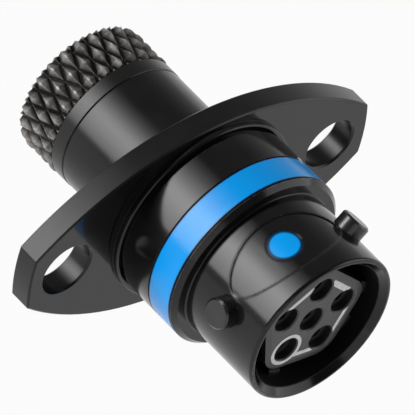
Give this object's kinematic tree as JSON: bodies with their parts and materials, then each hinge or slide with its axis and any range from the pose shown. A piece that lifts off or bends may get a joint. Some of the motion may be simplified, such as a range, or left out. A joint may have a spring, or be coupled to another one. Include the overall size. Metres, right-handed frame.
{
  "type": "flange socket connector",
  "caption": "Miniature bayonet receptacle with an oval two-hole flange, a keying colour band, a recessed socket insert and a diamond-knurled rear adaptor.",
  "frame": {"origin": "centre of the two flange holes, on the flange's mounting face", "axes": "-Y along the connector's axis towards its mating end, +X along the flange through both mounting holes, +Z across the flange on the side of the index dot"},
  "size_m": [0.0256, 0.0232, 0.0136],
  "materials": {
    "black_anodised": "satin black hard anodising over turned aluminium",
    "black_anodised_knurled": "satin black anodising over turned and knurled aluminium",
    "blackened_steel": "blackened stainless steel, satin",
    "blue_enamel": "semi-gloss blue enamel",
    "insert_plastic": "dark grey moulded plastic, slightly satin",
    "grommet_rubber": "dull red-brown silicone rubber",
    "gold_plating": "gold plating on copper alloy",
    "stainless_steel": "passivated stainless steel",
    "beryllium_copper": "bare spring copper"
  },
  "bodies": {
    "root": {"shell": "black_anodised", "colour_band": "blue_enamel", "index_dot": "blue_enamel", "bayonet_pin_1": "blackened_steel", "bayonet_pin_2": "blackened_steel", "bayonet_pin_3": "blackened_steel", "rear_adaptor": "black_anodised_knurled", "front_insert": "insert_plastic", "rear_insert": "insert_plastic", "retention_clip_1": "beryllium_copper", "retention_clip_2": "beryllium_copper", "retention_clip_3": "beryllium_copper", "retention_clip_4": "beryllium_copper", "retention_clip_5": "beryllium_copper", "retention_clip_6": "beryllium_copper", "contact_body_1": "gold_plating", "contact_body_2": "gold_plating", "contact_body_3": "gold_plating", "contact_body_4": "gold_plating", "contact_body_5": "gold_plating", "contact_body_6": "gold_plating", "contact_hood_1": "stainless_steel", "contact_hood_2": "stainless_steel", "contact_hood_3": "stainless_steel", "contact_hood_4": "stainless_steel", "contact_hood_5": "stainless_steel", "contact_hood_6": "stainless_steel", "sealing_grommet": "grommet_rubber"}
  },
  "joints": []
}
